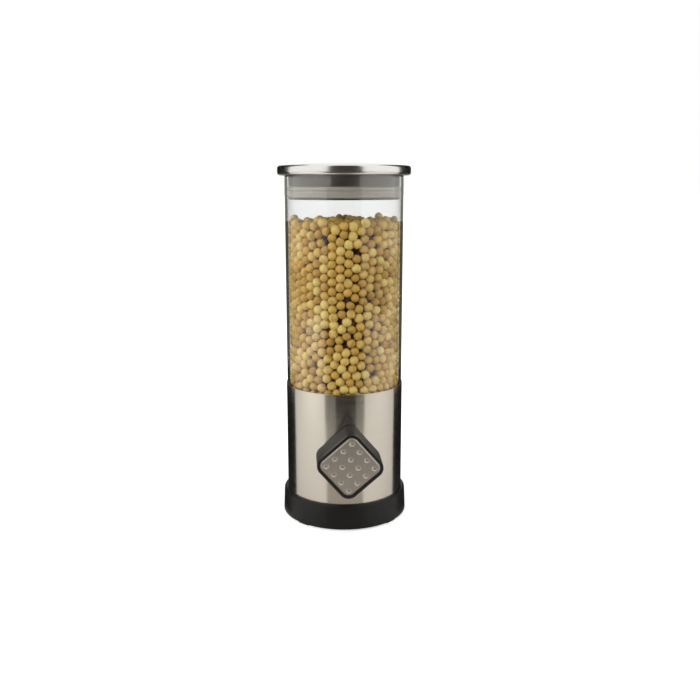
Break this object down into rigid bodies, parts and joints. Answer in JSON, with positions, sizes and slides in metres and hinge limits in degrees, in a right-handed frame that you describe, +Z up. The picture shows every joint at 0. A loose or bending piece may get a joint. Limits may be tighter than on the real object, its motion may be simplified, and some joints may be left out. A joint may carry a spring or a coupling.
{
  "type": "dispenser jar",
  "caption": "Upright dry-food dispenser jar: clear tube on a metal-sleeved base, lift-off sealed lid, and a square front knob that turns a dosing wheel above an open outlet.",
  "frame": {"origin": "centre of the base on the floor plane, under the jar's axis", "axes": "+Z up along the jar's axis, -Y towards the knob, X across"},
  "size_m": [0.1074, 0.1305, 0.2924],
  "materials": {
    "base_black": "satin moulded",
    "foot_rubber": "matt",
    "screw_steel": "zinc plated",
    "sleeve_steel": "brushed sheet",
    "inner_black": "moulded",
    "bush_white": "smooth",
    "gasket_silicone": "soft",
    "tube_clear": "clear polished",
    "dry_beans": "dry skins",
    "shaft_steel": "turned",
    "hub_grey": "moulded",
    "vane_silicone": "soft",
    "knob_grey": "fine grained",
    "rim_black": "satin",
    "face_steel": "satin pressed",
    "lid_steel": "polished sheet",
    "plug_grey": "satin",
    "seal_silicone": "soft translucent"
  },
  "bodies": {
    "housing": {"base_ring": "base_black", "base_feet": "foot_rubber", "base_screws": "screw_steel", "steel_sleeve": "sleeve_steel", "inner_shell": "inner_black", "drum_housing": "inner_black", "chute_stand": "inner_black", "front_plate": "inner_black", "plate_screws": "screw_steel", "front_bush": "bush_white", "rear_bush": "bush_white", "hopper_funnel": "inner_black", "tube_gasket": "gasket_silicone", "clear_tube": "tube_clear", "bean_fill": "dry_beans"},
    "knob": {"drive_shaft": "shaft_steel", "wheel_hub": "hub_grey", "wheel_vanes": "vane_silicone", "shaft_clip": "shaft_steel", "knob_washer": "bush_white", "knob_body": "knob_grey", "knob_screw": "screw_steel", "knob_rim": "rim_black", "knob_face": "face_steel"},
    "lid": {"lid_cover": "lid_steel", "lid_plug": "plug_grey", "lid_seal": "seal_silicone"}
  },
  "joints": [
    {"name": "knob_turn", "type": "hinge", "parent": "housing", "child": "knob", "pos_m": [0, 0, 0.063], "axis": [0, -1, 0], "continuous": true},
    {"name": "lid_lift", "type": "slide", "parent": "housing", "child": "lid", "axis": [0, 0, 1], "range_m": [0, 0.08]}
  ]
}
